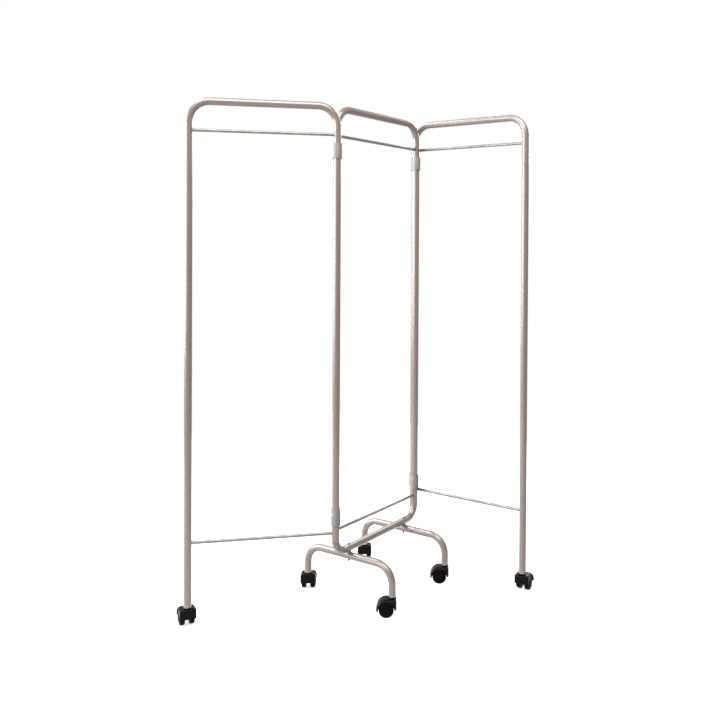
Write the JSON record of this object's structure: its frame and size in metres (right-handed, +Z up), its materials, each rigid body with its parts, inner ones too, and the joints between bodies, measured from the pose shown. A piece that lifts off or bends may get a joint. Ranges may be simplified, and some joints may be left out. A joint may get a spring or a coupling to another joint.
{
  "type": "folding privacy screen frame",
  "caption": "Folding ward screen frame of bent round tube with curtain rods, hinged wings and twin-wheel castors.",
  "frame": {"origin": "on the floor, under the middle of the whole screen's box as it stands in the picture", "axes": "+Z up, +X along the centre panel from the left wing's hinge to the right wing's hinge"},
  "size_m": [0.9334, 0.8524, 1.7],
  "materials": {
    "tube": "satin silver paint",
    "rod": "polished",
    "block": "satin",
    "steel": "plain",
    "plug": "matt",
    "castor_stem": "matt",
    "castor_hood": "glossy",
    "castor_wheel": "matt"
  },
  "bodies": {
    "centre_panel": {"centre_frame": "tube", "centre_top_rod": "rod", "centre_low_rod": "rod", "left_leg": "tube", "left_leg_saddle": "plug", "left_leg_bolt": "steel", "left_leg_nut": "steel", "left_leg_front_stem": "castor_stem", "left_leg_back_stem": "castor_stem", "right_leg": "tube", "right_leg_saddle": "plug", "right_leg_bolt": "steel", "right_leg_nut": "steel", "right_leg_front_stem": "castor_stem", "right_leg_back_stem": "castor_stem"},
    "left_wing_panel": {"left_wing_upper_block": "block", "left_wing_upper_screw": "steel", "left_wing_lower_block": "block", "left_wing_lower_screw": "steel", "left_wing_frame": "tube", "left_wing_top_rod": "rod", "left_wing_low_rod": "rod", "left_wing_post_plug": "plug", "left_wing_stem": "castor_stem"},
    "right_wing_panel": {"right_wing_upper_block": "block", "right_wing_upper_screw": "steel", "right_wing_lower_block": "block", "right_wing_lower_screw": "steel", "right_wing_frame": "tube", "right_wing_top_rod": "rod", "right_wing_low_rod": "rod", "right_wing_post_plug": "plug", "right_wing_stem": "castor_stem"},
    "left_leg_front_swivel": {"left_leg_front_hood": "castor_hood", "left_leg_front_axle": "steel"},
    "left_leg_front_roller_1": {"left_leg_front_wheel_1": "castor_wheel"},
    "left_leg_front_roller_2": {"left_leg_front_wheel_2": "castor_wheel"},
    "left_leg_back_swivel": {"left_leg_back_hood": "castor_hood", "left_leg_back_axle": "steel"},
    "left_leg_back_roller_1": {"left_leg_back_wheel_1": "castor_wheel"},
    "left_leg_back_roller_2": {"left_leg_back_wheel_2": "castor_wheel"},
    "right_leg_front_swivel": {"right_leg_front_hood": "castor_hood", "right_leg_front_axle": "steel"},
    "right_leg_front_roller_1": {"right_leg_front_wheel_1": "castor_wheel"},
    "right_leg_front_roller_2": {"right_leg_front_wheel_2": "castor_wheel"},
    "right_leg_back_swivel": {"right_leg_back_hood": "castor_hood", "right_leg_back_axle": "steel"},
    "right_leg_back_roller_1": {"right_leg_back_wheel_1": "castor_wheel"},
    "right_leg_back_roller_2": {"right_leg_back_wheel_2": "castor_wheel"},
    "left_wing_swivel": {"left_wing_hood": "castor_hood", "left_wing_axle": "steel"},
    "left_wing_roller_1": {"left_wing_wheel_1": "castor_wheel"},
    "left_wing_roller_2": {"left_wing_wheel_2": "castor_wheel"},
    "right_wing_swivel": {"right_wing_hood": "castor_hood", "right_wing_axle": "steel"},
    "right_wing_roller_1": {"right_wing_wheel_1": "castor_wheel"},
    "right_wing_roller_2": {"right_wing_wheel_2": "castor_wheel"}
  },
  "joints": [
    {"name": "left_wing_hinge", "type": "hinge", "parent": "centre_panel", "child": "left_wing_panel", "pos_m": [-0.08036, 0.05539, 0], "axis": [0, 0, 1], "range_deg": [-99, 75]},
    {"name": "right_wing_hinge", "type": "hinge", "parent": "centre_panel", "child": "right_wing_panel", "pos_m": [0.39464, 0.05539, 0], "axis": [0, 0, 1], "range_deg": [-52, 57]},
    {"name": "left_leg_front_castor_turn", "type": "hinge", "parent": "centre_panel", "child": "left_leg_front_swivel", "pos_m": [-0.00786, -0.12861, 0], "axis": [0, 0, 1], "continuous": true},
    {"name": "left_leg_front_wheel_1_roll", "type": "hinge", "parent": "left_leg_front_swivel", "child": "left_leg_front_roller_1", "pos_m": [-0.01933, -0.11284, 0.025], "axis": [-0.809, -0.5878, 0], "continuous": true},
    {"name": "left_leg_front_wheel_2_roll", "type": "hinge", "parent": "left_leg_front_swivel", "child": "left_leg_front_roller_2", "pos_m": [-0.01933, -0.11284, 0.025], "axis": [-0.809, -0.5878, 0], "continuous": true},
    {"name": "left_leg_back_castor_turn", "type": "hinge", "parent": "centre_panel", "child": "left_leg_back_swivel", "pos_m": [-0.00786, 0.23939, 0], "axis": [0, 0, 1], "continuous": true},
    {"name": "left_leg_back_wheel_1_roll", "type": "hinge", "parent": "left_leg_back_swivel", "child": "left_leg_back_roller_1", "pos_m": [0.00811, 0.25057, 0.025], "axis": [-0.5736, 0.8192, 0], "continuous": true},
    {"name": "left_leg_back_wheel_2_roll", "type": "hinge", "parent": "left_leg_back_swivel", "child": "left_leg_back_roller_2", "pos_m": [0.00811, 0.25057, 0.025], "axis": [-0.5736, 0.8192, 0], "continuous": true},
    {"name": "right_leg_front_castor_turn", "type": "hinge", "parent": "centre_panel", "child": "right_leg_front_swivel", "pos_m": [0.32214, -0.12861, 0], "axis": [0, 0, 1], "continuous": true},
    {"name": "right_leg_front_wheel_1_roll", "type": "hinge", "parent": "right_leg_front_swivel", "child": "right_leg_front_roller_1", "pos_m": [0.3118, -0.11208, 0.025], "axis": [-0.848, -0.5299, 0], "continuous": true},
    {"name": "right_leg_front_wheel_2_roll", "type": "hinge", "parent": "right_leg_front_swivel", "child": "right_leg_front_roller_2", "pos_m": [0.3118, -0.11208, 0.025], "axis": [-0.848, -0.5299, 0], "continuous": true},
    {"name": "right_leg_back_castor_turn", "type": "hinge", "parent": "centre_panel", "child": "right_leg_back_swivel", "pos_m": [0.32214, 0.23939, 0], "axis": [0, 0, 1], "continuous": true},
    {"name": "right_leg_back_wheel_1_roll", "type": "hinge", "parent": "right_leg_back_swivel", "child": "right_leg_back_roller_1", "pos_m": [0.3375, 0.25139, 0.025], "axis": [-0.6157, 0.788, 0], "continuous": true},
    {"name": "right_leg_back_wheel_2_roll", "type": "hinge", "parent": "right_leg_back_swivel", "child": "right_leg_back_roller_2", "pos_m": [0.3375, 0.25139, 0.025], "axis": [-0.6157, 0.788, 0], "continuous": true},
    {"name": "left_wing_castor_turn", "type": "hinge", "parent": "left_wing_panel", "child": "left_wing_swivel", "pos_m": [-0.44063, 0.37007, 0], "axis": [0, 0, 1], "continuous": true},
    {"name": "left_wing_wheel_1_roll", "type": "hinge", "parent": "left_wing_swivel", "child": "left_wing_roller_1", "pos_m": [-0.43088, 0.38696, 0.025], "axis": [-0.866, 0.5, 0], "continuous": true},
    {"name": "left_wing_wheel_2_roll", "type": "hinge", "parent": "left_wing_swivel", "child": "left_wing_roller_2", "pos_m": [-0.43088, 0.38696, 0.025], "axis": [-0.866, 0.5, 0], "continuous": true},
    {"name": "right_wing_castor_turn", "type": "hinge", "parent": "right_wing_panel", "child": "right_wing_swivel", "pos_m": [0.41211, -0.39938, 0], "axis": [0, 0, 1], "continuous": true},
    {"name": "right_wing_wheel_1_roll", "type": "hinge", "parent": "right_wing_swivel", "child": "right_wing_roller_1", "pos_m": [0.4315, -0.39735, 0.025], "axis": [-0.1045, 0.9945, 0], "continuous": true},
    {"name": "right_wing_wheel_2_roll", "type": "hinge", "parent": "right_wing_swivel", "child": "right_wing_roller_2", "pos_m": [0.4315, -0.39735, 0.025], "axis": [-0.1045, 0.9945, 0], "continuous": true}
  ]
}
